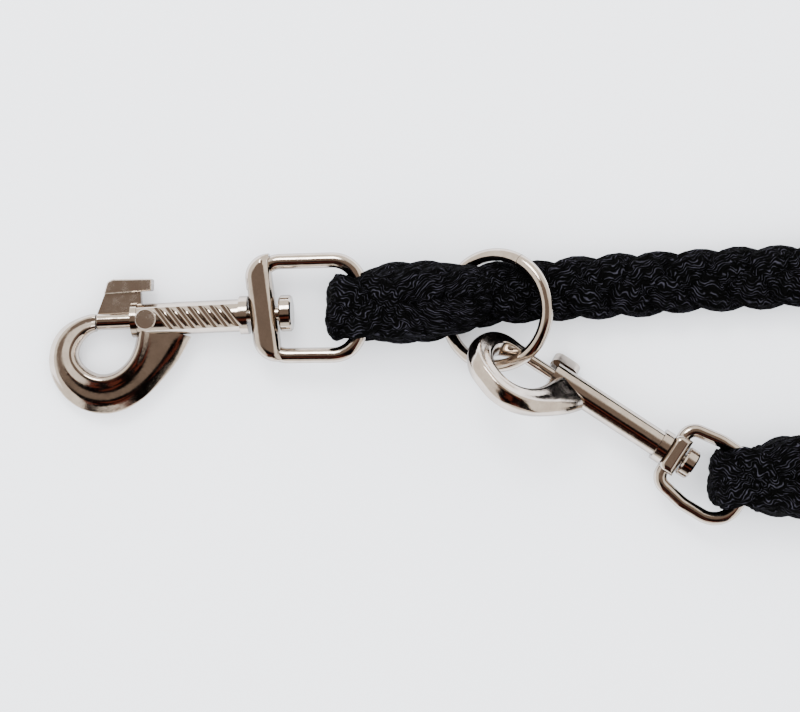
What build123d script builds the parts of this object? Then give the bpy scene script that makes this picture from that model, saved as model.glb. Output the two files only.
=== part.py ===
from build123d import *

import math
import os

# Adjustable plaited rope lead with two swivel bolt snaps and a ring, in millimetres.
# +Z is up from the surface that the lead lies on. The origin is under the middle of the
# hardware's outline. Each snap is drawn in its own frame: X runs along its barrel from the
# hook to the eye, with zero at the middle of the swivel bar, and Y points at the thumb piece.

# Where the snaps lie, before ORIGIN brings the hardware's middle over the origin
ORIGIN = (-0.6, 1.34)
SNAP_1_AT = (-57.2, 21.5, 8.6)
SNAP_1_HEADING = 2.5
SNAP_1_PITCH = -4.1
SNAP_2_AT = (70.8, -22.0, 9.1)
SNAP_2_HEADING = -33.1
SNAP_2_ROLL = -52.0

# First snap
BARREL_1_RADIUS = 5.1
BARREL_1_FRONT = -41.2
BARREL_1_REAR = -7.1
LIP_1_RADIUS = 5.45
LIP_1_LENGTH = 1.9
COLLAR_1_RADIUS = 6.0
COLLAR_1_REAR = -4.5
BOLT_1_RADIUS = 2.7
BOLT_1_TIP = -52.5
BOLT_1_REAR = -30.0
BOLT_1_TRAVEL = 9.5
SPRING_SEAT_1 = -14.0
SHANK_1_RADIUS = 2.3
BUTTON_1_RADIUS = 5.7
BUTTON_1_FRONT = 5.3
BUTTON_1_REAR = 9.1
TRIGGER_WEB = 2.2
TRIGGER_BLOCK = 5.2
FLUTES = 7
FLUTE_PITCH = 3.45
PLUG_X = -36.2
PLUG_RADIUS = 3.3

# Second snap
BARREL_2_RADIUS = 4.2
BARREL_2_FRONT = -45.3
BARREL_2_REAR = -6.0
COLLAR_2_RADIUS = 5.3
COLLAR_2_REAR = -3.0
BOLT_2_RADIUS = 1.9
BOLT_2_TIP = -56.7
BOLT_2_REAR = -34.0
BOLT_2_TRAVEL = 8.0
SPRING_SEAT_2 = -17.0
SHANK_2_RADIUS = 1.8
BUTTON_2_RADIUS = 4.8
BUTTON_2_FRONT = 3.1
BUTTON_2_REAR = 6.9
KNOB_REACH = 9.4

# Running clearances on the radius
BOLT_CLEARANCE = 0.06
SHANK_CLEARANCE = 0.06

# Eyes
EYE_1_WIRE = 2.4
EYE_1_NEAR_TOP = (-1.3, 16.3)
EYE_1_FAR_TOP = (30.9, 15.7)
EYE_1_FAR_BOTTOM = (29.6, -13.9)
EYE_1_NEAR_BOTTOM = (1.2, -13.0)
EYE_1_BAR = 8.2
EYE_1_RADII = [6.5, 8.5, 8.5, 6.5]
EYE_2_WIRE = 2.1
EYE_2_FAR = 25.1
EYE_2_NEAR = (-0.4, 9.6)
EYE_2_WIDE = (10.5, 11.5)
EYE_2_BOSS = (5.4, 12.6, 7.8)
EYE_2_RADII = [4.0, 12.0, 8.0, 8.0, 12.0, 4.0]

# Ring, tilted about Y with its left side on the floor
RING_CENTRE = (15.2, 22.75)
RING_RADIUS = 17.3
RING_WIRE = 2.0
RING_TILT = 28.0
RING_SEAM_ANGLE = 62.0

# Rope
ROPE_RADIUS = 6.9
ROPE_WIDTH = 19.0
LOOP_RADIUS = 9.8
EYE_GAP = 0.45
EYE_1_SWINGS = (0, 20, 45, 70)
EYE_2_SWINGS = (-3, 0, 1)
LEAD_ROUTE = [
    (7.0, 27.3, 11.4),
    (15.5, 28.0, 8.9),
    (26.5, 28.6, 7.0),
    (46.0, 29.9, 7.0),
    (68.0, 31.3, 7.1),
    (92.0, 33.0, 7.0),
    (115.0, 33.4, 7.1),
    (138.0, 39.5, 7.0),
    (164.0, 50.0, 7.1),
    (192.0, 57.5, 7.0),
    (218.0, 57.0, 7.1),
]
RETURN_ROUTE = [
    (126.0, -29.6, 9.6),
    (137.0, -31.0, 12.4),
    (153.0, -35.5, 18.5),
    (172.0, -42.6, 21.4),
    (194.0, -50.0, 21.6),
    (218.0, -53.0, 21.5),
]
HANK_LEFT = 152.0
HANK_RIGHT = 516.0
HANK_CENTRE_Y = 2.0
HANK_SPACING = 110.0
HANK_HEIGHT = 29.0
TIE_THICK = 1.2
TIE_WIDTH = 20.0
TIE_X = 334.0

RIM_WIDTH = 4.3
# Hook stations: x, y, width across the band, thickness at the inner rim, thickness at the edge
HOOK_1_STATIONS = [
    (-52.8, -0.35, 5.5, 5.4, 3.6),
    (-56.2, -1.1, 6.1, 5.8, 3.2),
    (-59.7, -3.2, 7.5, 6.4, 2.6),
    (-62.5, -6.6, 8.7, 6.9, 2.2),
    (-63.5, -10.8, 9.6, 7.0, 2.0),
    (-62.5, -15.3, 10.7, 7.0, 2.0),
    (-59.5, -19.3, 11.7, 7.0, 2.0),
    (-55.1, -22.0, 12.3, 7.0, 2.0),
    (-50.0, -22.7, 12.4, 7.0, 2.0),
    (-44.8, -21.2, 12.1, 7.0, 2.0),
    (-40.0, -17.8, 12.0, 7.0, 2.2),
    (-36.1, -13.3, 13.0, 7.0, 2.4),
    (-33.2, -8.4, 15.2, 7.2, 2.8),
    (-31.2, -3.0, 17.7, 7.4, 3.2),
]
HOOK_2_STATIONS = [
    (-57.0, -0.3, 4.6, 4.8, 4.2),
    (-60.7, -0.7, 5.6, 5.6, 4.6),
    (-64.7, -2.4, 7.0, 6.6, 5.2),
    (-67.4, -6.2, 8.0, 7.2, 5.4),
    (-67.9, -10.8, 8.2, 7.4, 5.4),
    (-66.3, -15.7, 8.0, 7.4, 5.4),
    (-62.3, -19.2, 7.0, 7.4, 5.6),
    (-57.8, -21.3, 7.2, 7.4, 5.4),
    (-52.8, -21.3, 7.6, 7.4, 5.2),
    (-48.0, -19.0, 8.4, 7.2, 5.0),
    (-44.0, -14.9, 9.6, 7.0, 4.8),
    (-40.8, -9.9, 11.4, 6.8, 4.8),
    (-38.2, -4.2, 13.0, 6.4, 5.0),
]


def rod(start, end, radius):
    """Round bar along X."""
    return Pos((start + end) / 2, 0, 0) * Rot(Y=90) * Cylinder(radius, end - start)


def block(low, high):
    """Box between two corners."""
    centre = [(a + b) / 2 for a, b in zip(low, high)]
    return Pos(*centre) * Box(*[b - a for a, b in zip(low, high)])


def hook_section(width, thick, edge, dip):
    """Closed section of a cast hook: a full rim at +X, a hollow beside it and a thinner edge at -X."""
    half = width / 2
    rim = min(RIM_WIDTH, 0.6 * width)
    upper = [
        (half - 0.08 * rim, 0.26 * thick),
        (half - 0.46 * rim, 0.5 * thick),
        (half - rim, 0.5 * thick * dip),
        (-half + 0.4 * (width - rim), 0.5 * thick * dip - 0.12 * (thick - edge)),
        (-half + 0.08 * width, 0.4 * edge),
    ]
    lower = [(x, -y) for x, y in reversed(upper)]
    outline = Spline(*[(half, 0)] + upper + [(-half, 0)] + lower, periodic=True)
    return make_face(outline)


def cast_hook(stations, dip):
    """Hook lofted through its stations, which run from the nose, left about, to the barrel."""
    sections = []
    for index, (x, y, width, thick, edge) in enumerate(stations):
        before = stations[max(index - 1, 0)]
        after = stations[min(index + 1, len(stations) - 1)]
        along = Vector(after[0] - before[0], after[1] - before[1], 0).normalized()
        if index == 0:
            along = Vector(-1, 0, 0)
        inward = Vector(-along.Y, along.X, 0)
        across = Plane(origin=(x, y, 0), x_dir=inward, z_dir=along)
        sections.append(across * hook_section(width, thick, edge, dip))
    return loft(sections)


def coil_spring(start, end, radius, wire, turns):
    """Compression spring along X."""
    helix = Helix(pitch=(end - start - 2 * wire) / turns, height=end - start - 2 * wire, radius=radius)
    profile = Plane(origin=helix @ 0, z_dir=helix % 0) * Circle(wire)
    return Pos(start + wire, 0, 0) * Rot(Y=90) * sweep(profile, path=helix)


def snap_1_body():
    """Hook, barrel and collar in one casting, with bore, trigger slot and slanted flutes."""
    body = cast_hook(HOOK_1_STATIONS, 0.76)
    body += rod(BARREL_1_FRONT, BARREL_1_REAR, BARREL_1_RADIUS)
    body += rod(BARREL_1_FRONT, BARREL_1_FRONT + LIP_1_LENGTH, LIP_1_RADIUS)
    body += rod(BARREL_1_REAR, COLLAR_1_REAR, COLLAR_1_RADIUS)
    body -= rod(BARREL_1_FRONT - 2, SPRING_SEAT_1, BOLT_1_RADIUS + BOLT_CLEARANCE)
    body -= rod(SPRING_SEAT_1 - 1, COLLAR_1_REAR + 1, SHANK_1_RADIUS)
    slot_end = -38.1 + BOLT_1_TRAVEL + 0.4
    body -= block((BARREL_1_FRONT - 1, 0, -1.3), (slot_end, 8, 1.3))
    body -= Pos(PLUG_X, 0, BARREL_1_RADIUS) * Cylinder(PLUG_RADIUS, 2.4)
    groove = Rot(Z=-55) * rod(-5, 5, 1.3)
    for index in range(FLUTES):
        body -= Pos(-30.6 + index * FLUTE_PITCH, 0, BARREL_1_RADIUS - 0.1) * groove
    return body


def snap_1_side_plug():
    """Round plug pressed in the barrel's side, standing a little proud."""
    plug = Pos(PLUG_X, 0, BARREL_1_RADIUS - 0.3) * Cylinder(PLUG_RADIUS, 1.8)
    return chamfer(plug.edges().sort_by(Axis.Z)[-1], 0.3)


def trigger_outline():
    """Side view of the flat trigger: leaning web under an overhanging block."""
    web = [(-52.3, 2.0), (-38.1, 2.0), (-38.1, 9.0), (-49.3, 9.0)]
    top = [(-49.6, 8.4), (-34.5, 8.9), (-34.3, 12.6), (-46.6, 13.0), (-48.3, 12.2)]
    return Polygon(*web, align=None), Polygon(*top, align=None)


def snap_1_trigger():
    """Flat thumb trigger, pressed into the bolt by its web."""
    web, top = trigger_outline()
    trigger = extrude(web, TRIGGER_WEB / 2, both=True)
    cap = extrude(top, TRIGGER_BLOCK / 2, both=True)
    return trigger + chamfer(cap.edges(), 0.35)


def snap_1_bolt():
    """Round bolt with a groove that takes the trigger's web."""
    bolt = chamfer(rod(BOLT_1_TIP, BOLT_1_REAR, BOLT_1_RADIUS).edges(), 0.4)
    return bolt - snap_1_trigger()


def swivel_rivet(start, front, rear, shank, button):
    """Swivel shank with a button head, closing the barrel's rear bore."""
    head = chamfer(rod(front, rear, button).edges(), 0.5)
    return rod(start, front + 0.6, shank) + head


def eye_1_path():
    """Wire line of the first eye, from one end of its bar round to the other."""
    near_top, near_bottom = Vector(*EYE_1_NEAR_TOP), Vector(*EYE_1_NEAR_BOTTOM)
    middle = (near_top + near_bottom) / 2
    start = middle + (near_bottom - middle) * 0.3
    end = middle + (near_top - middle) * 0.3
    corners = [start, near_bottom, Vector(*EYE_1_FAR_BOTTOM), Vector(*EYE_1_FAR_TOP), near_top, end]
    return FilletPolyline(*corners, radius=EYE_1_RADII)


def eye_2_path():
    """Wire line of the second eye, which widens towards the rope."""
    near_x, near_y = EYE_2_NEAR
    wide_x, wide_y = EYE_2_WIDE
    lower = [(near_x, -4.0), (near_x, -near_y), (wide_x, -wide_y), (EYE_2_FAR, -wide_y + 0.4)]
    upper = [(x, -y) for x, y in reversed(lower)]
    return FilletPolyline(*[Vector(x, y, 0) for x, y in lower + upper], radius=EYE_2_RADII)


def wire_along(path, radius):
    """Round wire along a path."""
    return sweep(Plane(origin=path @ 0, z_dir=path % 0) * Circle(radius), path=path)


def swivel_bar(width, length, thick, corner, soften):
    """Drilled bar of an eye: rounded at the two corners away from the bow, and softened all round."""
    bar = Box(width, length, thick)
    bar = fillet(bar.edges().filter_by(Axis.Z).sort_by(Axis.X)[:2], corner)
    return fillet(bar.faces().filter_by(Axis.Z).edges(), soften)


def snap_1_eye():
    """First swivel eye: wire bow on a thick drilled bar that leans a little."""
    bow = wire_along(eye_1_path(), EYE_1_WIRE)
    near_top, near_bottom = Vector(*EYE_1_NEAR_TOP), Vector(*EYE_1_NEAR_BOTTOM)
    lean = math.degrees(math.atan2(near_bottom.X - near_top.X, near_top.Y - near_bottom.Y))
    length = (near_top - near_bottom).length + 2 * EYE_1_WIRE - 0.4
    bar = swivel_bar(EYE_1_BAR, length, EYE_1_BAR, 7.4, 2.9)
    middle = (near_top + near_bottom) / 2
    eye = bow + Pos(middle.X, middle.Y, 0) * Rot(Z=lean) * bar
    eye -= rod(-9, -4.15, 8)
    return eye - rod(-9, 9, SHANK_1_RADIUS + SHANK_CLEARANCE) - rod(BUTTON_1_FRONT - 0.35, 12, 7)


def snap_2_eye():
    """Second swivel eye: D-shaped bow on a drilled boss."""
    bow = wire_along(eye_2_path(), EYE_2_WIRE)
    return bow + swivel_bar(*EYE_2_BOSS, 2.4, 1.9) - rod(-9, 9, SHANK_2_RADIUS + SHANK_CLEARANCE)


def snap_2_body():
    """Hook, slim barrel and collar in one casting, with bore and knob slot."""
    body = cast_hook(HOOK_2_STATIONS, 0.97)
    body += rod(BARREL_2_FRONT, BARREL_2_REAR, BARREL_2_RADIUS)
    body += rod(BARREL_2_REAR, COLLAR_2_REAR, COLLAR_2_RADIUS)
    body -= rod(BARREL_2_FRONT - 2, SPRING_SEAT_2, BOLT_2_RADIUS + BOLT_CLEARANCE)
    body -= rod(SPRING_SEAT_2 - 1, COLLAR_2_REAR + 1, SHANK_2_RADIUS)
    return body - block((BARREL_2_FRONT - 1, 0, -1.2), (-45.0 + BOLT_2_TRAVEL + 1.6, 8, 1.2))


def snap_2_knob():
    """Thumb knob: a leaf on a neck, curved over its top."""
    neck = block((-47.2, 1.0, -1.0), (-45.0, 6.0, 1.0))
    leaf = Pos(-42.9, 0, 0) * extrude(Plane.XZ * SlotOverall(9.2, 4.6), -KNOB_REACH)
    leaf &= Pos(-42.9, 0.6, 0) * Rot(X=90) * Rot(Y=90) * Cylinder(KNOB_REACH - 0.6, 12)
    leaf -= block((-60, -20, -9), (-30, 5.2, 9))
    return neck + leaf


def snap_2_bolt():
    """Round bolt with a pocket for the knob's neck."""
    bolt = chamfer(rod(BOLT_2_TIP, BOLT_2_REAR, BOLT_2_RADIUS).edges(), 0.3)
    return bolt - snap_2_knob()


def ring():
    """Round ring, butt-welded, on its left side and tilted up to the right."""
    tilt = math.radians(RING_TILT)
    height = RING_WIRE + RING_RADIUS * math.sin(tilt)
    hoop = Torus(RING_RADIUS, RING_WIRE)
    seam = Cylinder(RING_WIRE + 0.5, 0.35) - Cylinder(RING_WIRE - 0.22, 0.35)
    hoop -= Rot(Z=RING_SEAM_ANGLE) * Pos(RING_RADIUS, 0, 0) * Rot(X=90) * seam
    return Pos(*RING_CENTRE, height) * Rot(Y=-RING_TILT) * hoop


def oval(x, y, z, width, height, heading=0.0):
    """Oval section of the splice, standing across the rope."""
    plane = Plane(origin=(x, y, z), x_dir=(math.sin(heading), -math.cos(heading), 0), z_dir=(1, 0, 0))
    return plane * Ellipse(width / 2, height / 2)


def splice_1():
    """Thick stretch of plait where the tail is worked back in, over the ring's left side."""
    sections = [
        oval(-22.0, 24.6, 10.6, 23.5, 19.6),
        oval(-12.0, 25.1, 10.8, 27.0, 20.0),
        oval(0.5, 26.7, 13.3, 23.5, 16.8),
        oval(7.0, 27.3, 11.9, 2 * ROPE_RADIUS, 2 * ROPE_RADIUS),
    ]
    return loft(sections)


def splice_2():
    """Thick stretch of plait behind the second eye."""
    sections = [
        oval(98.6, -29.6, 9.9, 22.5, 19.4),
        oval(108.0, -29.4, 10.4, 26.5, 20.2),
        oval(118.0, -29.4, 9.9, 23.0, 18.0),
        oval(126.0, -29.6, 9.6, 2 * ROPE_RADIUS, 2 * ROPE_RADIUS),
    ]
    return loft(sections)


def end_loop(bar_x, centre_y, bar_z, width, root_x):
    """Turn of plait round an eye's far bar: a rounded nose that runs into the splice."""
    nose = Pos(bar_x, centre_y, bar_z) * Rot(X=90) * Cylinder(LOOP_RADIUS, width)
    cheek = block((bar_x, centre_y - width / 2, bar_z - LOOP_RADIUS),
                  (root_x, centre_y + width / 2, bar_z + LOOP_RADIUS))
    loop = nose + cheek
    return fillet(loop.edges().filter_by(Axis.X), 5.0)


def rope_tube(route):
    """Round rope along a route of straight runs joined by tangent arcs."""
    points = [Vector(*point) for point in route]
    radii = []
    for before, corner, after in zip(points, points[1:], points[2:]):
        turn = (corner - before).get_angle(after - corner)
        shorter = min((corner - before).length, (after - corner).length)
        radii.append(0.45 * shorter / math.tan(math.radians(turn) / 2))
    path = FilletPolyline(*points, radius=radii)
    tube = wire_along(path, ROPE_RADIUS)
    section = math.pi * ROPE_RADIUS ** 2
    print("tube length", round(path.length, 1), "radii", [round(r) for r in radii])
    print("tube volume over section times length", round(tube.volume / (section * path.length), 4))
    return tube


def hank():
    """Outer shape of the put-away plait: two layers round a long loop."""
    middle = (HANK_LEFT + HANK_RIGHT) / 2
    length = HANK_RIGHT - HANK_LEFT
    outer = SlotOverall(length, HANK_SPACING + ROPE_WIDTH)
    inner = SlotOverall(length - 2 * ROPE_WIDTH, HANK_SPACING - ROPE_WIDTH)
    return Pos(middle, HANK_CENTRE_Y, 0) * extrude(outer - inner, HANK_HEIGHT)


def hank_ties():
    """Two straps, one round each side of the hank."""
    ties = []
    for side in (-1, 1):
        across = HANK_CENTRE_Y + side * HANK_SPACING / 2
        half = ROPE_WIDTH / 2
        hole = block((TIE_X - TIE_WIDTH, across - half, 0), (TIE_X + TIE_WIDTH, across + half, HANK_HEIGHT))
        strap = block((TIE_X - TIE_WIDTH / 2, across - half - TIE_THICK, 0),
                      (TIE_X + TIE_WIDTH / 2, across + half + TIE_THICK, HANK_HEIGHT + TIE_THICK))
        ties.append(strap - hole)
    return Compound(children=[Compound(tie.solids()) for tie in ties])


SNAP_1_PLACE = Pos(*SNAP_1_AT) * Rot(Z=SNAP_1_HEADING) * Rot(Y=SNAP_1_PITCH)
EYE_2_PLACE = Pos(*SNAP_2_AT) * Rot(Z=SNAP_2_HEADING)
SNAP_2_PLACE = EYE_2_PLACE * Rot(X=SNAP_2_ROLL)


def eye_room(place, path, wire, far, swings):
    """Room that an eye's wire needs in its rope loop over the swing about its far bar."""
    middle, along = far
    rooms = []
    for index, swing in enumerate(swings):
        sleeve = wire_along(path, wire + EYE_GAP + 0.04 * index)
        rooms.append(place * sleeve.rotate(Axis(middle, along), swing))
    return rooms


def build():
    """All nodes, by name."""
    loop_1 = end_loop(-27.2, 23.7, 10.8, 20.0, -22.0)
    far_top, far_bottom = Vector(*EYE_1_FAR_TOP), Vector(*EYE_1_FAR_BOTTOM)
    far_1 = ((far_top + far_bottom) / 2, far_top - far_bottom)
    far_2 = (Vector(EYE_2_FAR, 0, 0), Vector(0, 1, 0))
    for room in eye_room(SNAP_1_PLACE, eye_1_path(), EYE_1_WIRE, far_1, EYE_1_SWINGS):
        loop_1 -= room
    loop_2 = end_loop(91.6, -29.3, 10.0, 18.5, 98.6)
    thick_2 = splice_2()
    for room in eye_room(EYE_2_PLACE, eye_2_path(), EYE_2_WIRE, far_2, EYE_2_SWINGS):
        loop_2 -= room
        thick_2 -= room
    return {
        "snap_1_body": SNAP_1_PLACE * snap_1_body(),
        "snap_1_bolt": SNAP_1_PLACE * snap_1_bolt(),
        "snap_1_trigger": SNAP_1_PLACE * snap_1_trigger(),
        "snap_1_side_plug": SNAP_1_PLACE * snap_1_side_plug(),
        "snap_1_spring": SNAP_1_PLACE * coil_spring(BOLT_1_REAR, SPRING_SEAT_1, 2.2, 0.35, 7),
        "snap_1_swivel_rivet": SNAP_1_PLACE * swivel_rivet(
            SPRING_SEAT_1, BUTTON_1_FRONT, BUTTON_1_REAR, SHANK_1_RADIUS, BUTTON_1_RADIUS),
        "snap_1_eye": SNAP_1_PLACE * snap_1_eye(),
        "snap_2_body": SNAP_2_PLACE * snap_2_body(),
        "snap_2_bolt": SNAP_2_PLACE * snap_2_bolt(),
        "snap_2_knob": SNAP_2_PLACE * snap_2_knob(),
        "snap_2_spring": SNAP_2_PLACE * coil_spring(BOLT_2_REAR, SPRING_SEAT_2, 1.5, 0.25, 9),
        "snap_2_swivel_rivet": SNAP_2_PLACE * swivel_rivet(
            SPRING_SEAT_2, BUTTON_2_FRONT, BUTTON_2_REAR, SHANK_2_RADIUS, BUTTON_2_RADIUS),
        "snap_2_eye": EYE_2_PLACE * snap_2_eye(),
        "ring": ring(),
        "rope_end_loop_1": loop_1,
        "rope_splice_1": splice_1(),
        "rope_lead": rope_tube(LEAD_ROUTE),
        "rope_hank": hank(),
        "rope_return": rope_tube(RETURN_ROUTE),
        "rope_splice_2": thick_2,
        "rope_end_loop_2": loop_2,
        "hank_ties": hank_ties(),
    }


os.makedirs("parts", exist_ok=True)
for name, shape in build().items():
    export_step(Pos(*ORIGIN, 0) * shape, f"parts/{name}.step")
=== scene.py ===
"""Looks of a plaited rope lead with two swivel bolt snaps and a ring.

Everything is in metres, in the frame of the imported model: +X runs from the first snap along the
rope, +Z is up, and the surface that the lead lies on is at zero.
"""

import logging
import math
from dataclasses import dataclass, field
from enum import Enum

import bmesh
import bpy
from mathutils import Matrix, Vector, noise


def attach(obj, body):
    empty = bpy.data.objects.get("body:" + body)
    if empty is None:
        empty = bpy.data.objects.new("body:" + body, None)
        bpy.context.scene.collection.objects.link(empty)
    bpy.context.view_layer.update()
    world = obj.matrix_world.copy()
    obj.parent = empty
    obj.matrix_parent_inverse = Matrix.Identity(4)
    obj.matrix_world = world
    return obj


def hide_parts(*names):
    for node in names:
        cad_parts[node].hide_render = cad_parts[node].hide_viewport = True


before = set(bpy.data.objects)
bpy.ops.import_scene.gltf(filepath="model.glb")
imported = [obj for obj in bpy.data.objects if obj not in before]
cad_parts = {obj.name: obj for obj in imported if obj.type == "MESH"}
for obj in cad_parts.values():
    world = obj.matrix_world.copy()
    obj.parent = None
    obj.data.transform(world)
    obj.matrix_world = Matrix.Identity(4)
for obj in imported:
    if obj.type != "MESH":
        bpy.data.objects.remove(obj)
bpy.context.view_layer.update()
LOG = logging.getLogger("rope_lead")

MM = 0.001
TIE_X = 333.4 * MM

# Route of the free plait: out of the first splice, along the surface and into the hank
LEAD_POINTS = [
    (0.0064, 0.0286, 0.0112),
    (0.0149, 0.0293, 0.0090),
    (0.0259, 0.0299, 0.0072),
    (0.0454, 0.0312, 0.0071),
    (0.0674, 0.0326, 0.0072),
    (0.0914, 0.0343, 0.0071),
    (0.1144, 0.0347, 0.0072),
    (0.1374, 0.0408, 0.0071),
    (0.1634, 0.0513, 0.0072),
    (0.1914, 0.0586, 0.0071),
    (0.2174, 0.0583, 0.0072),
]
# Route out of the hank, over the hank's own turn and down into the second splice
RETURN_POINTS = [
    (0.2174, -0.0517, 0.0225),
    (0.1934, -0.0487, 0.0245),
    (0.1714, -0.0413, 0.0262),
    (0.1524, -0.0342, 0.0205),
    (0.1364, -0.0297, 0.0128),
    (0.1254, -0.0283, 0.0096),
]
# Middle line and thickness of each splice, from its eye's side to its free side
SPLICE_1_POINTS = [
    (-0.0262, 0.0256, 0.0108),
    (-0.0166, 0.0260, 0.0108),
    (-0.0046, 0.0270, 0.0118),
    (0.0044, 0.0281, 0.0126),
    (0.0124, 0.0290, 0.0108),
]
SPLICE_1_SWELL = [0.80, 1.0, 1.0, 0.84, 0.60]
SPLICE_2_POINTS = [
    (0.0944, -0.0280, 0.0102),
    (0.1034, -0.0281, 0.0106),
    (0.1154, -0.0279, 0.0102),
    (0.1294, -0.0287, 0.0098),
]
SPLICE_2_SWELL = [0.8, 1.0, 1.0, 0.60]
# Map of the yarns: how far apart strands and their bundles start, and the radius of an end's map
STRAND_MAP_STEP = 91.0
PLY_MAP_STEP = 37.0
CAP_MAP_RADIUS = 2
# Turn of a bundle's lobes, in radians for each millimetre along it
LOBE_TWIST = 0.12
# Middle of each eye's far bar, which the plait turns round
BAR_1 = Vector((-0.0278, 0.0250, 0.0108))
BAR_2 = Vector((0.0910, -0.0280, 0.0100))


class Finish(Enum):
    """Ways that a plated part's surface was left."""

    DIE_CAST = "tumbled die casting"
    DRAWN_WIRE = "drawn and polished wire"
    FLAT_FACED = "pressed flat face"


def linear(code: str) -> tuple[float, float, float, float]:
    """Turn an sRGB hex colour into linear light.

    Args:
        code: Colour such as "#c8beb2".

    Returns:
        Linear red, green, blue and an alpha of one.
    """
    parts = [int(code[start:start + 2], 16) / 255 for start in (1, 3, 5)]
    bent = [part / 12.92 if part <= 0.04045 else ((part + 0.055) / 1.055) ** 2.4 for part in parts]
    return (bent[0], bent[1], bent[2], 1.0)


def add_node(tree: bpy.types.NodeTree, kind: str, values: dict | None = None,
             links: dict | None = None, **settings) -> bpy.types.Node:
    """Add a shader node with its settings, socket values and incoming links.

    Args:
        tree: Tree that the node goes in.
        kind: Type name of the node.
        values: Socket name or number to value.
        links: Socket name or number to the output that feeds it.
        **settings: Properties of the node itself.

    Returns:
        The new node.
    """
    node = tree.nodes.new(kind)
    for key, value in settings.items():
        setattr(node, key, value)
    for key, value in (values or {}).items():
        node.inputs[key].default_value = value
    for key, source in (links or {}).items():
        tree.links.new(source, node.inputs[key])
    return node


def blank_material(name: str) -> tuple[bpy.types.Material, bpy.types.NodeTree]:
    """Start a material with an empty node tree.

    Args:
        name: Name of the real material.

    Returns:
        The material and its tree.
    """
    material = bpy.data.materials.new(name)
    material.use_nodes = True
    material.node_tree.nodes.clear()
    return material, material.node_tree


@dataclass(frozen=True)
class NickelPlate:
    """Bright nickel plate: a warm mirror with a faint haze, handling marks, a cast or drawn grain, and
    painted dark shade where the surface turns away from the eye.

    Attributes:
        name: Name of the material.
        finish: How the surface was left, which sets its grain.
        tint: Colour of the clean plate.
        worn_tint: Colour where the haze is thick.
        rim_shade_tint: Colour where the surface turns away from the eye.
        roughness: Roughness at the middle of the haze.
        wave: Height of the slow waves in the surface.
        wave_size: Size of those waves.
        haze_band: Part of the haze noise that changes the roughness.
        haze_spread: Least and most roughness, as shares of the roughness above.
        rim_shade_band: How far the surface turns away before the painted shade starts and is full.
        wave_strength: Strength of the slow waves.
        grain_height: Height of the fine grain.
    """

    name: str
    finish: Finish
    tint: str = "#d4cabf"
    worn_tint: str = "#a89b90"
    # Painted dark shade colour for the rims
    rim_shade_tint: str = "#3a312b"
    roughness: float = 0.11
    wave: float = 0.09 * MM
    wave_size: float = 4.0 * MM
    haze_band: tuple[float, float] = (0.32, 0.72)
    haze_spread: tuple[float, float] = (0.5, 1.8)
    rim_shade_band: tuple[float, float] = (0.50, 0.92)
    wave_strength: float = 0.5
    grain_height: float = 0.04 * MM

    def grain(self) -> tuple[float, float]:
        """Give the size and the strength of the surface's grain."""
        if self.finish is Finish.FLAT_FACED:
            return 0.30 * MM, 0.55
        if self.finish is Finish.DIE_CAST:
            return 0.45 * MM, 0.16
        return 0.25 * MM, 0.06

    def material(self) -> bpy.types.Material:
        """Build the plate's material."""
        material, tree = blank_material(self.name)
        grain_size, grain_strength = self.grain()
        place = add_node(tree, "ShaderNodeTexCoord")
        haze = add_node(tree, "ShaderNodeTexNoise",
                        {"Scale": 1 / self.wave_size, "Detail": 5.0, "Roughness": 0.62},
                        {"Vector": place.outputs["Object"]})
        grit = add_node(tree, "ShaderNodeTexNoise", {"Scale": 1 / grain_size, "Detail": 3.0},
                        {"Vector": place.outputs["Object"]})
        rough = add_node(tree, "ShaderNodeMapRange",
                         {"From Min": self.haze_band[0], "From Max": self.haze_band[1],
                          "To Min": self.roughness * self.haze_spread[0],
                          "To Max": self.roughness * self.haze_spread[1]},
                         {"Value": haze.outputs["Fac"]})
        colour = add_node(tree, "ShaderNodeMix", {6: linear(self.tint), 7: linear(self.worn_tint)},
                          {0: haze.outputs["Fac"]}, data_type="RGBA")
        # Painted shade: the plate's colour goes to a dark brown where the surface turns away from the eye
        facing = add_node(tree, "ShaderNodeLayerWeight", {"Blend": 0.5})
        turned = add_node(tree, "ShaderNodeMapRange",
                          {"From Min": self.rim_shade_band[0], "From Max": self.rim_shade_band[1]},
                          {"Value": facing.outputs["Facing"]})
        shaded = add_node(tree, "ShaderNodeMix", {7: linear(self.rim_shade_tint)},
                          {0: turned.outputs["Result"], 6: colour.outputs[2]}, data_type="RGBA")
        wavy = add_node(tree, "ShaderNodeBump", {"Strength": self.wave_strength, "Distance": self.wave},
                        {"Height": haze.outputs["Fac"]})
        fine = add_node(tree, "ShaderNodeBump", {"Strength": grain_strength, "Distance": self.grain_height},
                        {"Height": grit.outputs["Fac"], "Normal": wavy.outputs["Normal"]})
        shader = add_node(tree, "ShaderNodeBsdfPrincipled", {"Metallic": 1.0},
                          {"Base Color": shaded.outputs[2], "Roughness": rough.outputs["Result"],
                           "Normal": fine.outputs["Normal"]})
        add_node(tree, "ShaderNodeOutputMaterial", links={"Surface": shader.outputs["BSDF"]})
        return material


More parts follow.
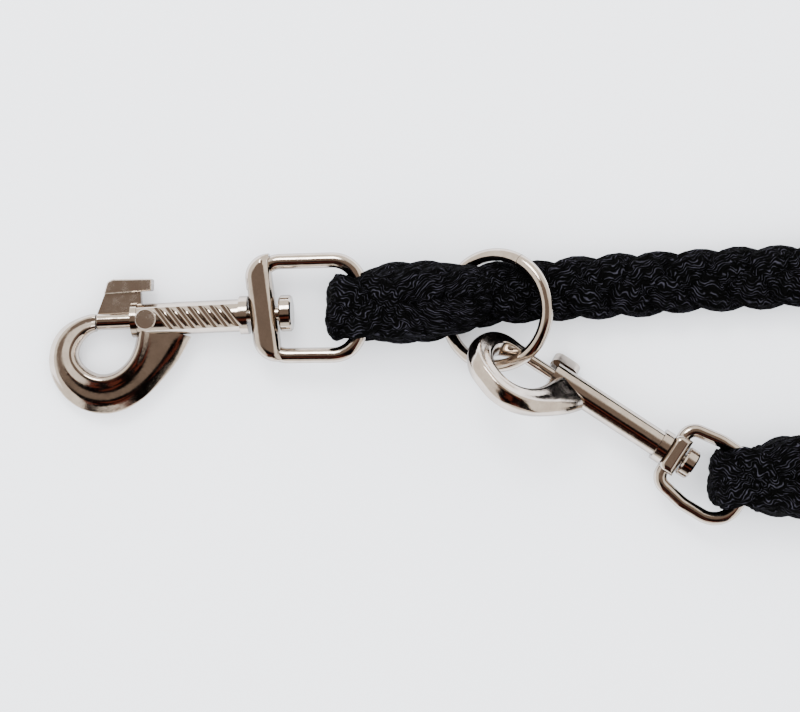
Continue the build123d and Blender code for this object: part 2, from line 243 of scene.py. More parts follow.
@dataclass(frozen=True)
class YarnPlait:
    """Multifilament polypropylene yarn: near black, with a painted soft violet-grey highlight on the crests
    of the crimped yarns.

    Attributes:
        name: Name of the material.
        shade: Colour of most of the yarn, which also stands as painted shade in the hollows.
        crest_highlight: Painted highlight colour on the crests of the crimped yarns.
        yarn_width: Width of one yarn, in millimetres on the strand's map.
        crimp: How far a yarn swings to each side, in the same unit.
        crimp_length: Length of one swing.
        relief: Height of the yarns.
        relief_strength: Strength of that relief.
        drift: How far the yarns wander from their strand's direction.
        crown_power: Power that narrows the light crest of each yarn.
        break_stretch: Stretch of the noise that breaks the crests up.
        break_height: How much that noise adds to the relief.
        highlight_band: Range of crest and noise in which the painted highlight sets in.
        crevice_shade_reach: How far off other rope still casts painted shade on a yarn.
        crevice_shade_band: Range of openness in which the painted highlight sets in; below it the yarn keeps
            the painted shade.
    """

    name: str = "polypropylene multifilament yarn"
    shade: str = "#020202"
    # Painted highlight colour for the yarn crests
    crest_highlight: str = "#2b2a31"
    yarn_width: float = 0.95
    crimp: float = 0.55
    crimp_length: float = 3.4
    relief: float = 0.5 * MM
    relief_strength: float = 0.85
    drift: float = 3.2
    crown_power: float = 2.2
    break_stretch: tuple[float, float, float] = (0.75, 0.42, 1.0)
    break_height: float = 1.4
    highlight_band: tuple[float, float] = (0.40, 0.66)
    crevice_shade_reach: float = 5 * MM
    crevice_shade_band: tuple[float, float] = (0.58, 0.98)

    def material(self) -> bpy.types.Material:
        """Build the yarn's material on the strand's own map, whose units are millimetres."""
        material, tree = blank_material(self.name)
        place = add_node(tree, "ShaderNodeUVMap", uv_map="yarn")
        wander = add_node(tree, "ShaderNodeTexNoise", {"Scale": 0.22, "Detail": 2.0},
                          {"Vector": place.outputs["UV"]}, noise_dimensions="2D")
        shift = add_node(tree, "ShaderNodeVectorMath", {1: (0.5, 0.5, 0.0)},
                         {0: wander.outputs["Color"]}, operation="SUBTRACT")
        drift = add_node(tree, "ShaderNodeVectorMath", {"Scale": self.drift}, {0: shift.outputs[0]},
                         operation="SCALE")
        bent = add_node(tree, "ShaderNodeVectorMath", links={0: place.outputs["UV"], 1: drift.outputs[0]},
                        operation="ADD")
        parts = add_node(tree, "ShaderNodeSeparateXYZ", links={0: bent.outputs[0]})
        along = add_node(tree, "ShaderNodeMath", {1: 2 * math.pi / self.crimp_length},
                         {0: parts.outputs["Y"]}, operation="MULTIPLY")
        swing = add_node(tree, "ShaderNodeMath", links={0: along.outputs[0]}, operation="SINE")
        side = add_node(tree, "ShaderNodeMath", {1: self.crimp},
                        {0: swing.outputs[0], 2: parts.outputs["X"]}, operation="MULTIPLY_ADD")
        across = add_node(tree, "ShaderNodeMath", {1: math.pi / self.yarn_width}, {0: side.outputs[0]},
                          operation="MULTIPLY")
        wave = add_node(tree, "ShaderNodeMath", links={0: across.outputs[0]}, operation="SINE")
        yarn = add_node(tree, "ShaderNodeMath", links={0: wave.outputs[0]}, operation="ABSOLUTE")
        crown = add_node(tree, "ShaderNodeMath", {1: self.crown_power}, {0: yarn.outputs[0]},
                         operation="POWER")
        stretched = add_node(tree, "ShaderNodeVectorMath", {1: self.break_stretch}, {0: bent.outputs[0]},
                             operation="MULTIPLY")
        broken = add_node(tree, "ShaderNodeTexNoise", {"Scale": 1.0, "Detail": 2.0, "Roughness": 0.6},
                          {"Vector": stretched.outputs[0]}, noise_dimensions="2D")
        height = add_node(tree, "ShaderNodeMath", {1: self.break_height},
                          {0: broken.outputs["Fac"], 2: yarn.outputs[0]}, operation="MULTIPLY_ADD")
        # Painted highlight: the lighter colour goes on the narrow crowns of the yarns, broken up by noise
        lit_crests = add_node(tree, "ShaderNodeMath", links={0: crown.outputs[0], 1: broken.outputs["Fac"]},
                        operation="MULTIPLY")
        strength = add_node(tree, "ShaderNodeMapRange",
                            {"From Min": self.highlight_band[0], "From Max": self.highlight_band[1]},
                            {"Value": lit_crests.outputs[0]})
        # Painted shade: ambient occlusion holds the painted highlight back where other rope is close
        crevice_occlusion = add_node(tree, "ShaderNodeAmbientOcclusion", {"Distance": self.crevice_shade_reach}, samples=4)
        open_side = add_node(tree, "ShaderNodeMapRange",
                             {"From Min": self.crevice_shade_band[0], "From Max": self.crevice_shade_band[1]},
                             {"Value": crevice_occlusion.outputs["AO"]})
        highlight_mask = add_node(tree, "ShaderNodeMath",
                        links={0: strength.outputs["Result"], 1: open_side.outputs["Result"]},
                        operation="MULTIPLY")
        # Mix the near-black yarn with the painted highlight colour
        colour = add_node(tree, "ShaderNodeMix", {6: linear(self.shade), 7: linear(self.crest_highlight)},
                          {0: highlight_mask.outputs[0]}, data_type="RGBA")
        bump = add_node(tree, "ShaderNodeBump", {"Strength": self.relief_strength, "Distance": self.relief},
                        {"Height": height.outputs[0]})
        shader = add_node(tree, "ShaderNodeBsdfPrincipled", {"Roughness": 0.85, "Specular IOR Level": 0.03},
                          {"Base Color": colour.outputs[2], "Normal": bump.outputs["Normal"]})
        add_node(tree, "ShaderNodeOutputMaterial", links={"Surface": shader.outputs["BSDF"]})
        return material


@dataclass(frozen=True)
class DrawnSpring:
    """Oiled drawn spring wire: darker and softer than the plate."""

    name: str = "drawn spring steel"
    tint: str = "#8b8a88"
    grain_size: float = 0.4 * MM

    def material(self) -> bpy.types.Material:
        """Build the spring's material."""
        material, tree = blank_material(self.name)
        place = add_node(tree, "ShaderNodeTexCoord")
        grain = add_node(tree, "ShaderNodeTexNoise", {"Scale": 1 / self.grain_size},
                         {"Vector": place.outputs["Object"]})
        rough = add_node(tree, "ShaderNodeMapRange", {"To Min": 0.25, "To Max": 0.45},
                         {"Value": grain.outputs["Fac"]})
        shader = add_node(tree, "ShaderNodeBsdfPrincipled",
                          {"Metallic": 1.0, "Base Color": linear(self.tint)},
                          {"Roughness": rough.outputs["Result"]})
        add_node(tree, "ShaderNodeOutputMaterial", links={"Surface": shader.outputs["BSDF"]})
        return material


@dataclass(frozen=True)
class WovenStrap:
    """Flat woven nylon strap: a plain weave of 1.2 mm yarns in charcoal."""

    name: str = "woven nylon strap"
    shade: str = "#08080a"
    light: str = "#18181c"
    pitch: float = 1.2 * MM
    fuzz_size: float = 0.3 * MM
    relief: float = 0.2 * MM

    def material(self) -> bpy.types.Material:
        """Build the strap's material."""
        material, tree = blank_material(self.name)
        place = add_node(tree, "ShaderNodeTexCoord")
        weave = add_node(tree, "ShaderNodeTexChecker", {"Scale": 1 / self.pitch},
                         {"Vector": place.outputs["Object"]})
        fuzz = add_node(tree, "ShaderNodeTexNoise", {"Scale": 1 / self.fuzz_size},
                        {"Vector": place.outputs["Object"]})
        blend = add_node(tree, "ShaderNodeMath", {1: 0.5},
                         {0: weave.outputs["Fac"], 2: fuzz.outputs["Fac"]}, operation="MULTIPLY_ADD")
        colour = add_node(tree, "ShaderNodeMix", {6: linear(self.shade), 7: linear(self.light)},
                          {0: blend.outputs[0]}, data_type="RGBA")
        bump = add_node(tree, "ShaderNodeBump", {"Strength": 0.6, "Distance": self.relief},
                        {"Height": blend.outputs[0]})
        shader = add_node(tree, "ShaderNodeBsdfPrincipled", {"Roughness": 0.8, "Specular IOR Level": 0.1},
                          {"Base Color": colour.outputs[2], "Normal": bump.outputs["Normal"]})
        add_node(tree, "ShaderNodeOutputMaterial", links={"Surface": shader.outputs["BSDF"]})
        return material


@dataclass
class RopeLine:
    """Smooth middle line of a stretch of plait.

    Attributes:
        points: Control points of the line's NURBS spline.
        step: Distance between the points that are read off it.
    """

    points: list[tuple[float, float, float]]
    step: float = 2.0 * MM

    def read_spline(self) -> list[Vector]:
        """Read the smooth line of the route's NURBS spline."""
        curve = bpy.data.curves.new("route", "CURVE")
        curve.dimensions = "3D"
        curve.resolution_u = 16
        spline = curve.splines.new("NURBS")
        spline.points.add(len(self.points) - 1)
        for point, place in zip(spline.points, self.points):
            point.co = (*place, 1.0)
        spline.order_u = 3
        spline.use_endpoint_u = True
        holder = bpy.data.objects.new("route", curve)
        bpy.context.scene.collection.objects.link(holder)
        graph = bpy.context.evaluated_depsgraph_get()
        mesh = bpy.data.meshes.new_from_object(holder.evaluated_get(graph))
        line = [vertex.co.copy() for vertex in mesh.vertices]
        bpy.data.objects.remove(holder)
        bpy.data.curves.remove(curve)
        bpy.data.meshes.remove(mesh)
        return line

    def sampled(self) -> list[Vector]:
        """Give points along the smooth line, one step apart."""
        line = self.read_spline()
        reach = [0.0]
        for before, after in zip(line, line[1:]):
            reach.append(reach[-1] + (after - before).length)
        count = max(4, round(reach[-1] / self.step))
        places = []
        index = 0
        for number in range(count + 1):
            goal = reach[-1] * number / count
            while index < len(line) - 2 and reach[index + 1] < goal:
                index += 1
            span = max(reach[index + 1] - reach[index], 1e-9)
            places.append(line[index].lerp(line[index + 1], (goal - reach[index]) / span))
        return places

    def length(self) -> float:
        """Give the smooth line's length."""
        line = self.read_spline()
        return sum((after - before).length for before, after in zip(line, line[1:]))


@dataclass
class Tube:
    """Corners, faces and map of a mesh that is being built up."""

    verts: list[Vector] = field(default_factory=list)
    faces: list[tuple[int, ...]] = field(default_factory=list)
    spots: list[list[tuple[float, float]]] = field(default_factory=list)


@dataclass
class Plait:
    """Three-strand plait along a line, each strand a flattened bundle of yarns.

    Attributes:
        name: Name of the piece.
        line: Middle line of the plait.
        period: Length in which a strand comes back to its place.
        sway: How far a strand's middle goes to each side.
        lift: How far it goes up and down.
        half_width: Half the strand's width.
        half_thick: Half the strand's thickness.
        plies: Bundles that lie side by side in each strand.
        phase: Where in its period the plait starts.
        swell: Scale of the section at even stations along the line.
        side: The plait's sideways direction, or nothing to keep its flat side level.
        around: Points round each bundle.
        lobes: Bundles of yarn that show round each bundle's section.
        lobe_depth: How far those lobes stand out, as a share of the section.
        ply_lag: How far apart a strand's bundles lie in the period, in radians.
        sway_wobble: Unevenness of the sway, as a share of it.
        size_wobble: Unevenness of the section, as a share of it.
        end_taper: Scale of the section at each closed end.
    """

    name: str
    line: list[Vector]
    period: float = 38 * MM
    sway: float = 3.9 * MM
    lift: float = 2.1 * MM
    half_width: float = 6.1 * MM
    half_thick: float = 3.9 * MM
    plies: int = 1
    phase: float = 0.0
    swell: list[float] = field(default_factory=lambda: [1.0, 1.0])
    side: Vector | None = None
    around: int = 30
    lobes: int = 10
    lobe_depth: float = 0.055
    ply_lag: float = 0.42
    sway_wobble: float = 0.10
    size_wobble: float = 0.06
    end_taper: float = 0.55

    def frames(self) -> list[tuple[Vector, Vector, Vector, float]]:
        """Give each point with its sideways and upward direction and its distance along the line."""
        rows = []
        travelled = 0.0
        for index, place in enumerate(self.line):
            before = self.line[max(index - 1, 0)]
            after = self.line[min(index + 1, len(self.line) - 1)]
            along = (after - before).normalized()
            if self.side is None:
                across = Vector((0, 0, 1)).cross(along).normalized()
            else:
                across = self.side.normalized()
            upward = along.cross(across).normalized()
            if index:
                travelled += (place - self.line[index - 1]).length
            rows.append((place, across, upward, travelled))
        return rows

    def swell_at(self, share: float) -> float:
        """Read the section's scale between two stations.

        Args:
            share: Share of the line's length, from 0 to 1.

        Returns:
            The scale there, eased from station to station.
        """
        spot = share * (len(self.swell) - 1)
        index = min(int(spot), len(self.swell) - 2)
        part = spot - index
        part = part * part * (3 - 2 * part)
        return self.swell[index] * (1 - part) + self.swell[index + 1] * part

    def strand_line(self, turn: float, ply: float) -> list[tuple[Vector, float, Vector]]:
        """Follow one bundle through the plait.

        Args:
            turn: The strand's share of the period, in radians.
            ply: The bundle's place across its strand, from -1 to 1.

        Returns:
            For each point: its place, the local scale, and the plait's upward direction.
        """
        rows = self.frames()
        total = rows[-1][3]
        places = []
        for place, across, upward, travelled in rows:
            scale = self.swell_at(travelled / total)
            spot = 2 * math.pi * travelled / self.period + turn + self.phase
            spot += ply * self.ply_lag
            jitter = noise.noise(Vector((travelled * 60, turn * 3.1, ply + 7.3)))
            sway = self.sway * scale * (1 + self.sway_wobble * jitter) * math.sin(spot)
            lift = self.lift * scale * math.sin(2 * spot)
            places.append((place + across * sway + upward * lift, scale * (1 + self.size_wobble * jitter),
                           upward))
        return places

    def add_bundle(self, tube: "Tube", rows: list[tuple[Vector, float, Vector]], shift: float,
                   narrow: float) -> None:
        """Add one bundle to the mesh as a lobed closed tube.

        Args:
            tube: Corners, faces and map of the mesh so far.
            rows: The bundle's line, from strand_line.
            shift: Where the bundle's map starts, in millimetres.
            narrow: What the strand's width is divided by to share it among its bundles.
        """
        girth = math.pi * (self.half_width + self.half_thick) / MM
        first = len(tube.verts)
        heights = [0.0]
        for index, (place, scale, upward) in enumerate(rows):
            before = rows[max(index - 1, 0)][0]
            after = rows[min(index + 1, len(rows) - 1)][0]
            along = (after - before).normalized()
            across = upward.cross(along).normalized()
            over = along.cross(across).normalized()
            if index:
                heights.append(heights[-1] + (place - rows[index - 1][0]).length / MM)
            taper = self.end_taper if index in (0, len(rows) - 1) else 1.0
            for number in range(self.around):
                angle = -math.pi / 2 + 2 * math.pi * number / self.around
                lobe = 1 + self.lobe_depth * math.cos(self.lobes * angle + heights[-1] * LOBE_TWIST)
                wide = self.half_width * scale * lobe * taper / narrow
                thick = self.half_thick * scale * lobe * taper
                tube.verts.append(place + across * (math.cos(angle) * wide)
                                  + over * (math.sin(angle) * thick))
        for index in range(len(rows) - 1):
            low, high = heights[index], heights[index + 1]
            for number in range(self.around):
                after = (number + 1) % self.around
                base = first + index * self.around
                tube.faces.append((base + number, base + after, base + self.around + after,
                                   base + self.around + number))
                left = girth * number / self.around + shift
                right = girth * (number + 1) / self.around + shift
                tube.spots.append([(left, low), (right, low), (right, high), (left, high)])
        last = first + (len(rows) - 1) * self.around
        start = tuple(reversed(range(first, first + self.around)))
        end = tuple(range(last, last + self.around))
        for cap in (start, end):
            tube.faces.append(cap)
            tube.spots.append([(shift + CAP_MAP_RADIUS * math.cos(corner), CAP_MAP_RADIUS * math.sin(corner))
                               for corner in range(self.around)])

    def mesh(self) -> bpy.types.Mesh:
        """Build every bundle in one mesh, with a map in millimetres."""
        tube = Tube()
        plies = [0.0] if self.plies == 1 else [-1.0, 1.0]
        for strand in range(3):
            for ply in plies:
                rows = self.strand_line(strand * 2 * math.pi / 3, ply)
                self.add_bundle(tube, rows, strand * STRAND_MAP_STEP + ply * PLY_MAP_STEP, len(plies) ** 0.5)
        mesh = bpy.data.meshes.new(self.name)
        mesh.from_pydata(tube.verts, [], tube.faces)
        chart = mesh.uv_layers.new(name="yarn")
        loop = 0
        for corners in tube.spots:
            for corner in corners:
                chart.data[loop].uv = corner
                loop += 1
        mesh.polygons.foreach_set("use_smooth", [True] * len(mesh.polygons))
        mesh.update()
        return mesh

    def piece(self, material: bpy.types.Material, *nodes: str) -> bpy.types.Object:
        """Make the plait an object that stands for its CAD nodes and rides with the rope.

        Args:
            material: The yarn's material.
            *nodes: Names of the CAD nodes that it stands for.

        Returns:
            The new object.
        """
        made = bpy.data.objects.new(self.name, self.mesh())
        bpy.context.scene.collection.objects.link(made)
        made.data.materials.append(material)
        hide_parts(*nodes)
        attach(made, "rope")
        LOG.info("%s: %d faces", made.name, len(made.data.polygons))
        return made


@dataclass
class Hank:
    """Put-away plait: two turns of a long loop, one on the other.

    Attributes:
        left: Where the straight sides start.
        right: Where they end.
        middle: The hank's middle, sideways.
        radius: Half the distance between the straight sides.
        floor_level: Height of the lower turn.
        top_level: Height of the upper turn.
        climb_levels: Heights on the way from the lower turn to the upper one.
        stray: How far the sides wander.
    """

    left: float = 215.9 * MM
    right: float = 450.9 * MM
    middle: float = 3.34 * MM
    radius: float = 55.0 * MM
    floor_level: float = 7.2 * MM
    top_level: float = 21.0 * MM
    climb_levels: tuple[float, float] = (17.0 * MM, 25.5 * MM)
    stray: float = 0.8 * MM

    def run(self, start: float, end: float, side: float, level: float, seed: float
            ) -> list[tuple[float, float, float]]:
        """Give the points of one straight side, a little uneven.

        Args:
            start: Where the side starts, along the hank.
            end: Where it ends.
            side: 1 or -1, for the side of the hank.
            level: Height of the plait's middle.
            seed: Picks the side's own unevenness.

        Returns:
            The points, without the side's two ends.
        """
        row = []
        for share in (0.25, 0.5, 0.75):
            wander = self.stray * noise.noise(Vector((seed, share * 9, 0.4))) * 2
            row.append((start + (end - start) * share, self.middle + side * self.radius + wander, level))
        return row

    def fold(self, centre: float, outward: float, side: float, levels: tuple[float, float, float]
             ) -> list[tuple[float, float, float]]:
        """Give the three corners of a half turn.

        Args:
            centre: Middle of the half turn, along the hank.
            outward: 1 or -1, for the end of the hank.
            side: 1 or -1, for the side that it starts on.
            levels: Height of each corner.

        Returns:
            The corners, in order.
        """
        corners = []
        for angle, level in zip((60, 0, -60), levels):
            reach = self.radius / math.cos(math.radians(30))
            corners.append((centre + outward * reach * math.cos(math.radians(angle)),
                            self.middle + side * reach * math.sin(math.radians(angle)), level))
        return corners

    def points(self) -> list[tuple[float, float, float]]:
        """Give the whole hank's points, from the lead's end to the return's start."""
        low, top = self.floor_level, self.top_level
        route = self.run(self.left, self.right, 1, low, 1.0)
        route += self.fold(self.right, 1, 1, (low, low, low))
        route += self.run(self.right, self.left, -1, low, 2.0)
        route += self.fold(self.left, -1, -1, (low, *self.climb_levels))
        route += self.run(self.left, self.right, 1, top, 3.0)
        route += self.fold(self.right, 1, 1, (top, top, top))
        route += self.run(self.right, self.left, -1, top, 4.0)
        return route


@dataclass
class HankStrap:
    """Soft strap that wraps the two layers of the hank on one side.

    Attributes:
        centre: Middle of the wrapped rope.
        half_width: From the middle to the strap's outer face, sideways.
        half_height: The same, upwards.
        reach: Half the strap's width along the rope.
        thick: Thickness of the strap.
        squareness: Power of the rounded box that the strap follows.
        around: Points round the strap.
        edge: Width of its rounded edges.
    """

    centre: Vector
    half_width: float = 11.6 * MM
    half_height: float = 14.3 * MM
    reach: float = 10.0 * MM
    thick: float = 1.2 * MM
    squareness: float = 3.6
    around: int = 56
    edge: float = 0.4 * MM

    def turn_point(self, number: int, inset: float, along: float) -> Vector:
        """Give one point of the strap's turn.

        Args:
            number: Which point it is.
            inset: How far inside the strap's outer face it lies.
            along: Its place along the rope, from the strap's middle.

        Returns:
            The point.
        """
        angle = 2 * math.pi * number / self.around
        power = 2 / self.squareness
        across = math.copysign(abs(math.cos(angle)) ** power, math.cos(angle)) * (self.half_width - inset)
        upward = math.copysign(abs(math.sin(angle)) ** power, math.sin(angle)) * (self.half_height - inset)
        return self.centre + Vector((along, across, upward))

    def add_to(self, mesh: bmesh.types.BMesh) -> None:
        """Add the strap's closed band to a mesh.

        Args:
            mesh: The mesh that it goes in.
        """
        rows = []
        for number in range(self.around):
            corners = [(0.0, -self.reach), (0.0, self.reach),
                       (self.thick, self.reach), (self.thick, -self.reach)]
            rows.append([mesh.verts.new(self.turn_point(number, inset, along)) for inset, along in corners])
        long_edges = []
        for number, row in enumerate(rows):
            after = rows[(number + 1) % self.around]
            for corner in range(4):
                beside = (corner + 1) % 4
                mesh.faces.new((row[corner], row[beside], after[beside], after[corner]))
            long_edges += [mesh.edges.get((row[corner], after[corner])) for corner in range(4)]
        bmesh.ops.bevel(mesh, geom=long_edges, offset=self.edge, offset_type="OFFSET", segments=2,
                        profile=0.5, affect="EDGES", material=-1)


@dataclass
class Rope:
    """The plaited rope with its end loops, splices, free length and straps."""

    material: bpy.types.Material
    strap: bpy.types.Material
    hank: Hank = field(default_factory=Hank)

    def free_plait(self, straps: bpy.types.Object) -> None:
        """Make the free plait from the first splice through the hank to the second splice.

        Args:
            straps: The hank's straps, which are on this plait; not used.
        """
        route = LEAD_POINTS + self.hank.points() + RETURN_POINTS
        line = RopeLine(route, 2.4 * MM)
        path = line.sampled()
        plait = Plait("rope_plait", path)
        piece = plait.piece(self.material, "rope_lead", "rope_hank", "rope_return")
        length = line.length()
        LOG.info("free plait %.3f m", length)

    def splice(self, name: str, points: list[tuple[float, float, float]], swell: list[float], phase: float,
               node: str) -> bpy.types.Object:
        """Make a splice: the plait with its tail worked back in beside each strand.

        Args:
            name: Name of the piece.
            points: Its middle line's control points.
            swell: Scale of its section along the line.
            phase: Where in its period the plait starts.
            node: The CAD node that it stands for.

        Returns:
            The new piece.
        """
        line = RopeLine(points, 1.2 * MM).sampled()
        plait = Plait(name, line, period=48 * MM, sway=6.4 * MM, lift=4.0 * MM, half_width=9.2 * MM,
                      half_thick=5.3 * MM, plies=2, phase=phase, swell=swell)
        return plait.piece(self.material, node)

    def end_loop(self, name: str, bar: Vector, width: float, root: float, node: str, phase: float
                 ) -> bpy.types.Object:
        """Make the turn of plait round an eye's bar.

        Args:
            name: Name of the piece.
            bar: Middle of the eye's bar.
            width: Width of the flattened plait.
            root: Where the turn goes into the splice, along the lead.
            node: The CAD node that it stands for.
            phase: Where in its period the plait starts.

        Returns:
            The new piece.
        """
        reach = 6.3 * MM
        flat = 4 * MM
        nose = reach * 1.15
        points = [
            (root, bar.y, bar.z + reach - 1.0 * MM),
            (bar.x + flat, bar.y, bar.z + reach),
            (bar.x - reach, bar.y, bar.z + reach),
            (bar.x - nose, bar.y, bar.z),
            (bar.x - reach, bar.y, bar.z - reach),
            (bar.x + flat, bar.y, bar.z - reach),
            (root, bar.y, bar.z - reach + 1.5 * MM),
        ]
        line = RopeLine(points, 1.0 * MM).sampled()
        plait = Plait(name, line, period=34 * MM, sway=width / 2 - 5.0 * MM, lift=1.2 * MM,
                      half_width=5.2 * MM, half_thick=2.5 * MM, phase=phase, side=Vector((0, -1, 0)))
        return plait.piece(self.material, node)

    def ties(self) -> bpy.types.Object:
        """Wrap a strap round each side of the hank.

        Returns:
            Both straps, as one piece.
        """
        base = bmesh.new()
        height = HankStrap(Vector()).half_height
        for side in (-1, 1):
            HankStrap(Vector((TIE_X, self.hank.middle + side * self.hank.radius, height))).add_to(base)
        bmesh.ops.recalc_face_normals(base, faces=base.faces)
        mesh = bpy.data.meshes.new("hank_straps")
        base.to_mesh(mesh)
        base.free()
        mesh.polygons.foreach_set("use_smooth", [True] * len(mesh.polygons))
        straps = bpy.data.objects.new("hank_straps", mesh)
        bpy.context.scene.collection.objects.link(straps)
        mesh.materials.append(self.strap)
        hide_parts("hank_ties")
        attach(straps, "rope")
        return straps

    def build(self) -> None:
        """Make every piece of the rope."""
        self.free_plait(self.ties())
        self.splice("splice_first", SPLICE_1_POINTS, SPLICE_1_SWELL, phase=0.6, node="rope_splice_1")
        self.splice("splice_second", SPLICE_2_POINTS, SPLICE_2_SWELL, phase=2.1, node="rope_splice_2")
        self.end_loop("end_loop_first", BAR_1, width=20 * MM, root=-0.012, node="rope_end_loop_1", phase=0.4)
        self.end_loop("end_loop_second", BAR_2, width=18.5 * MM, root=0.107, node="rope_end_loop_2",
                      phase=1.7)


def dress(node: str, material: bpy.types.Material) -> None:
    """Give a CAD node its material.

    Args:
        node: Name of the node.
        material: Its material.
    """
    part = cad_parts[node]
    part.data.materials.clear()
    part.data.materials.append(material)


@dataclass
class Snap:
    """A swivel bolt snap with its eye.

    Attributes:
        number: Which snap it is.
        cast: Names of its die-cast pieces.
        turned: Names of its bright turned pieces.
        flat: Names of its flat-faced pieces.
    """

    number: int
    cast: list[str]
    turned: list[str]
    flat: list[str]

    def build(self, plates: dict[Finish, bpy.types.Material], spring: bpy.types.Material) -> None:
        """Dress every piece of the snap.

        Args:
            plates: Material of each finish.
            spring: Material of the spring.
        """
        groups = {Finish.DIE_CAST: self.cast, Finish.DRAWN_WIRE: self.turned, Finish.FLAT_FACED: self.flat}
        for finish, pieces in groups.items():
            for piece in pieces:
                dress(f"snap_{self.number}_{piece}", plates[finish])
        dress(f"snap_{self.number}_spring", spring)
        LOG.info("snap %d dressed", self.number)


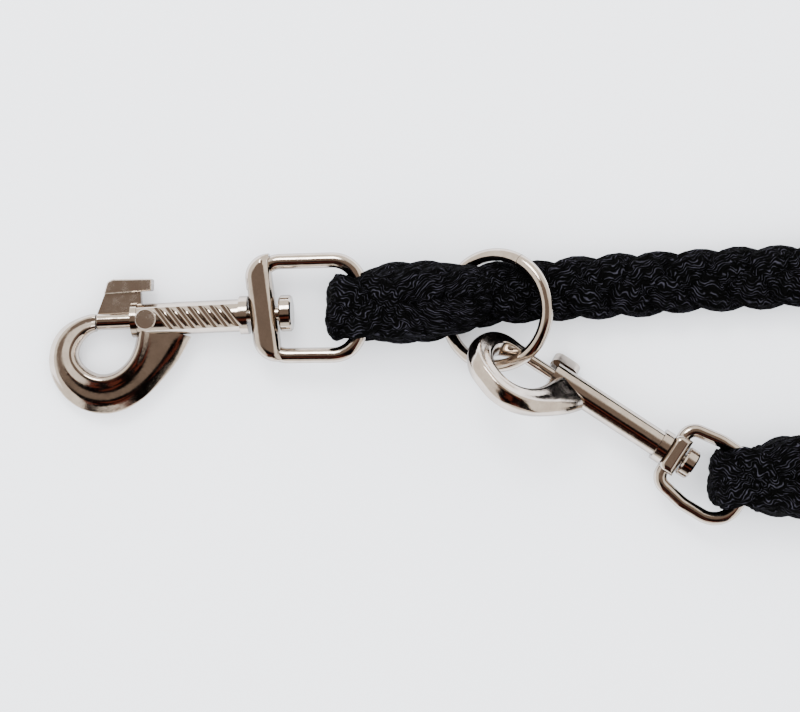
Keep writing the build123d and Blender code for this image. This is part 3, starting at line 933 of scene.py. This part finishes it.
@dataclass
class Studio:
    """White cloth, a soft daylight sky and a camera that looks straight down.

    Attributes:
        aim: Where the camera looks.
        height: Height of the camera.
        view_width: Width of what it sees on the floor.
        room_strength: Light of the room that the plate reflects.
        even_strength: Light that falls on matt surfaces.
        unevenness: How much the noise bends the ceiling's edge.
        ceiling_band: Heights between which the wall turns into the dim ceiling.
        near_band: Where the dark figure on the near side starts and is full.
        low_band: Where it fades out again, low down.
        side_band: Where it ends to each side.
        warm_band: Noise between which the figure's colour turns warm.
    """

    aim: Vector = field(default_factory=lambda: Vector((-15.2 * MM, 9.84 * MM, 0.0)))
    height: float = 0.62
    view_width: float = 252.8 * MM
    room_strength: float = 1.7
    even_strength: float = 4.3
    unevenness: float = 0.55
    ceiling_band: tuple[float, float] = (0.96, 1.12)
    near_band: tuple[float, float] = (-0.10, -0.22)
    low_band: tuple[float, float] = (-0.93, -0.84)
    side_band: tuple[float, float] = (0.62, 0.50)
    warm_band: tuple[float, float] = (0.53, 0.58)

    def camera(self) -> None:
        """Place the camera over the lead."""
        lens = bpy.data.cameras.new("camera")
        lens.sensor_width = 36.0
        lens.lens = lens.sensor_width * self.height / self.view_width
        lens.clip_start = 0.01
        view = bpy.data.objects.new("camera", lens)
        bpy.context.scene.collection.objects.link(view)
        view.location = self.aim + Vector((0, 0, self.height))
        bpy.context.scene.camera = view

    def cloth(self) -> None:
        """Lay the pale cloth under the lead."""
        base = bmesh.new()
        bmesh.ops.create_grid(base, x_segments=2, y_segments=2, size=2.5)
        bmesh.ops.translate(base, verts=base.verts, vec=(0.1, 0, -0.2 * MM))
        mesh = bpy.data.meshes.new("floor_cloth")
        base.to_mesh(mesh)
        base.free()
        floor = bpy.data.objects.new("floor_cloth", mesh)
        bpy.context.scene.collection.objects.link(floor)
        material, tree = blank_material("white cotton cloth")
        place = add_node(tree, "ShaderNodeTexCoord")
        soft = add_node(tree, "ShaderNodeTexNoise", {"Scale": 9.0, "Detail": 3.0},
                        {"Vector": place.outputs["Object"]})
        colour = add_node(tree, "ShaderNodeMix", {6: linear("#e9ebee"), 7: linear("#e3e5e9")},
                          {0: soft.outputs["Fac"]}, data_type="RGBA")
        shader = add_node(tree, "ShaderNodeBsdfPrincipled", {"Roughness": 0.95, "Specular IOR Level": 0.1},
                          {"Base Color": colour.outputs[2]})
        add_node(tree, "ShaderNodeOutputMaterial", links={"Surface": shader.outputs["BSDF"]})
        mesh.materials.append(material)

    def band(self, tree: bpy.types.NodeTree, value: bpy.types.NodeSocket, limits: tuple[float, float]
             ) -> bpy.types.NodeSocket:
        """Ramp a value smoothly from nothing to one.

        Args:
            tree: Tree that the ramp goes in.
            value: Output to ramp.
            limits: The value that gives nothing, and the value that gives one.

        Returns:
            The ramp's output.
        """
        ramp = add_node(tree, "ShaderNodeMapRange", {"From Min": limits[0], "From Max": limits[1]},
                        {"Value": value}, interpolation_type="SMOOTHSTEP")
        return ramp.outputs["Result"]

    def sky(self) -> None:
        """Light the room: even daylight on the cloth, a dim ceiling and dark near side in the plate."""
        world = bpy.data.worlds.new("room")
        bpy.context.scene.world = world
        world.use_nodes = True
        tree = world.node_tree
        tree.nodes.clear()
        place = add_node(tree, "ShaderNodeTexCoord")
        parts = add_node(tree, "ShaderNodeSeparateXYZ", links={0: place.outputs["Generated"]})
        blotch = add_node(tree, "ShaderNodeTexNoise", {"Scale": 2.6, "Detail": 1.5},
                          {"Vector": place.outputs["Generated"]})
        uneven = add_node(tree, "ShaderNodeMath", {1: self.unevenness},
                          {0: blotch.outputs["Fac"], 2: parts.outputs["Z"]}, operation="MULTIPLY_ADD")
        ceiling = self.band(tree, uneven.outputs[0], self.ceiling_band)
        near = self.band(tree, parts.outputs["Y"], self.near_band)
        low = self.band(tree, parts.outputs["Y"], self.low_band)
        width = add_node(tree, "ShaderNodeMath", links={0: parts.outputs["X"]}, operation="ABSOLUTE")
        inside = self.band(tree, width.outputs[0], self.side_band)
        patch = add_node(tree, "ShaderNodeMath", links={0: near, 1: inside}, operation="MULTIPLY")
        figure = add_node(tree, "ShaderNodeMath", links={0: patch.outputs[0], 1: low}, operation="MULTIPLY")
        warm = self.band(tree, blotch.outputs["Fac"], self.warm_band)
        brown = add_node(tree, "ShaderNodeMix", {6: linear("#060405"), 7: linear("#552a20")}, {0: warm},
                         data_type="RGBA")
        pale = add_node(tree, "ShaderNodeMix", {6: linear("#fff8ee"), 7: linear("#75675d")}, {0: ceiling},
                        data_type="RGBA")
        colour = add_node(tree, "ShaderNodeMix",
                          links={0: figure.outputs[0], 6: pale.outputs[2], 7: brown.outputs[2]},
                          data_type="RGBA")
        room = add_node(tree, "ShaderNodeBackground", {"Strength": self.room_strength},
                        {"Color": colour.outputs[2]})
        even = add_node(tree, "ShaderNodeBackground",
                        {"Color": linear("#fafbfe"), "Strength": self.even_strength})
        path = add_node(tree, "ShaderNodeLightPath")
        mixed = add_node(tree, "ShaderNodeMixShader",
                         links={0: path.outputs["Is Diffuse Ray"], 1: room.outputs["Background"],
                                2: even.outputs["Background"]})
        add_node(tree, "ShaderNodeOutputWorld", links={"Surface": mixed.outputs["Shader"]})

    def lamp(self, name: str, place: tuple[float, float, float], size: float, power: float) -> None:
        """Hang a soft area lamp that points at the lead.

        Args:
            name: Name of the lamp.
            place: Where it hangs.
            size: Its width.
            power: Its power, in watts.
        """
        light = bpy.data.lights.new(name, "AREA")
        light.shape = "DISK"
        light.size = size
        light.energy = power
        holder = bpy.data.objects.new(name, light)
        bpy.context.scene.collection.objects.link(holder)
        spot = Vector(place)
        turn = (self.aim - spot).to_track_quat("-Z", "Y")
        holder.matrix_world = Matrix.Translation(spot) @ turn.to_matrix().to_4x4()

    def build(self) -> None:
        """Set up the camera, the floor and the light."""
        self.camera()
        self.cloth()
        self.sky()
        self.lamp("window", (-0.25, 0.75, 0.95), size=0.45, power=9.0)


def main() -> None:
    """Build the pieces in order."""
    logging.basicConfig(level=logging.INFO, format="%(message)s")
    Studio().build()
    rope = Rope(YarnPlait().material(), WovenStrap().material())
    rope.build()
    plates = {
        Finish.DIE_CAST: NickelPlate("nickel-plated zinc die-cast", Finish.DIE_CAST).material(),
        Finish.DRAWN_WIRE: NickelPlate("nickel-plated drawn steel", Finish.DRAWN_WIRE,
                                       roughness=0.07).material(),
        Finish.FLAT_FACED: NickelPlate("nickel-plated pressed face", Finish.FLAT_FACED,
                                       roughness=0.2).material(),
    }
    spring = DrawnSpring().material()
    Snap(1, ["body", "eye"], ["bolt", "swivel_rivet"], ["trigger", "side_plug"]).build(plates, spring)
    Snap(2, ["body", "eye", "knob"], ["bolt", "swivel_rivet"], []).build(plates, spring)
    dress("ring", plates[Finish.DRAWN_WIRE])


if __name__ == "__main__":
    main()
